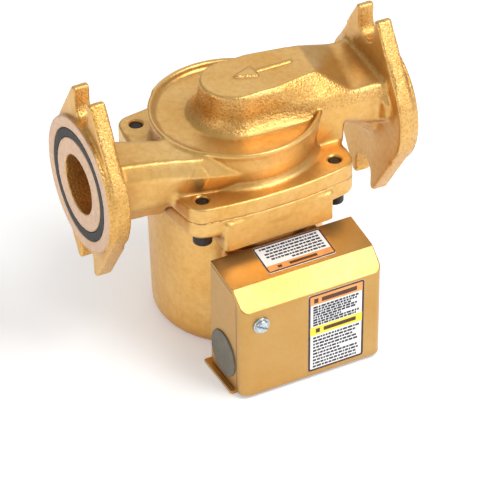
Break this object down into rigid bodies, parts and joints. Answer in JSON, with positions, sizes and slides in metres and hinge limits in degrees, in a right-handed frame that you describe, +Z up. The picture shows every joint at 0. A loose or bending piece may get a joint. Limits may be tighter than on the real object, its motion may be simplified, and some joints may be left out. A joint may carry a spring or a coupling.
{
  "type": "circulator pump",
  "caption": "Wet-rotor circulator pump: bronze volute with in-line two-bolt flanges, round motor shell below and a folded terminal box on its front",
  "frame": {"origin": "centre of the motor's flat bottom, on the motor axis; the pipe axis crosses the motor axis 94.2 mm above it", "axes": "+X along the pipe towards the suction flange, +Y away from the terminal box, +Z up along the motor axis towards the volute"},
  "size_m": [0.162, 0.1222, 0.1424],
  "materials": {
    "cast_bronze": "sand-cast bronze under a thin satin gold coat, machined on the flange faces",
    "gold_sheet": "satin metallic gold paint on folded sheet steel",
    "gasket_rubber": "dull black moulded rubber",
    "o_ring_rubber": "black rubber",
    "black_steel": "black oxide steel",
    "lamination": "stacked electrical steel laminations",
    "copper": "varnished copper wire bundles",
    "stainless": "drawn stainless steel",
    "carbon": "machined carbon",
    "ceramic_shaft": "ground ceramic",
    "rotor_aluminium": "cast aluminium end ring",
    "impeller_plastic": "glass-filled moulded plastic",
    "zinc_steel": "zinc-plated steel",
    "plug_plastic": "dark grey moulded plastic",
    "label_film": "printed film, plain colour bands and bars only",
    "capacitor_can": "drawn aluminium capacitor can",
    "green_screw": "green dyed zinc plate",
    "wire_black": "black insulation",
    "wire_white": "white insulation",
    "wire_brown": "brown insulation"
  },
  "bodies": {
    "pump": {"volute_casing": "cast_bronze", "casing_o_ring": "o_ring_rubber", "motor_housing": "cast_bronze", "motor_cap_screws": "black_steel", "stator_core": "lamination", "stator_windings": "copper", "rotor_can": "stainless", "bearing_plate": "stainless", "upper_bearing": "carbon", "lower_bearing": "carbon", "terminal_box_base": "gold_sheet", "box_mounting_screws": "zinc_steel", "conduit_plug_left": "plug_plastic", "conduit_plug_right": "plug_plastic", "run_capacitor": "capacitor_can", "capacitor_strap": "zinc_steel", "capacitor_leads": "wire_brown", "lead_grommet": "o_ring_rubber", "ground_screw": "green_screw", "lead_wire_black": "wire_black", "lead_wire_white": "wire_white"},
    "rotor": {"rotor_shaft": "ceramic_shaft", "rotor_core": "lamination", "rotor_sleeve": "stainless", "rotor_end_rings": "rotor_aluminium", "thrust_washers": "carbon", "impeller": "impeller_plastic", "impeller_cover": "impeller_plastic", "impeller_clip": "stainless"},
    "box_cover": {"terminal_box_cover": "gold_sheet", "cover_screw": "zinc_steel", "label_front": "label_film", "label_top": "label_film"},
    "inlet_gasket": {"inlet_flange_gasket": "gasket_rubber"},
    "outlet_gasket": {"outlet_flange_gasket": "gasket_rubber"}
  },
  "joints": [
    {"name": "rotor_spin", "type": "hinge", "parent": "pump", "child": "rotor", "pos_m": [0, 0, 0.0942], "axis": [0, 0, 1], "continuous": true},
    {"name": "cover_slide", "type": "slide", "parent": "pump", "child": "box_cover", "axis": [0, -1, 0], "range_m": [0, 0.045]},
    {"name": "inlet_gasket_slide", "type": "slide", "parent": "pump", "child": "inlet_gasket", "axis": [1, 0, 0], "range_m": [0, 0.03]},
    {"name": "outlet_gasket_slide", "type": "slide", "parent": "pump", "child": "outlet_gasket", "axis": [-1, 0, 0], "range_m": [0, 0.03]}
  ]
}
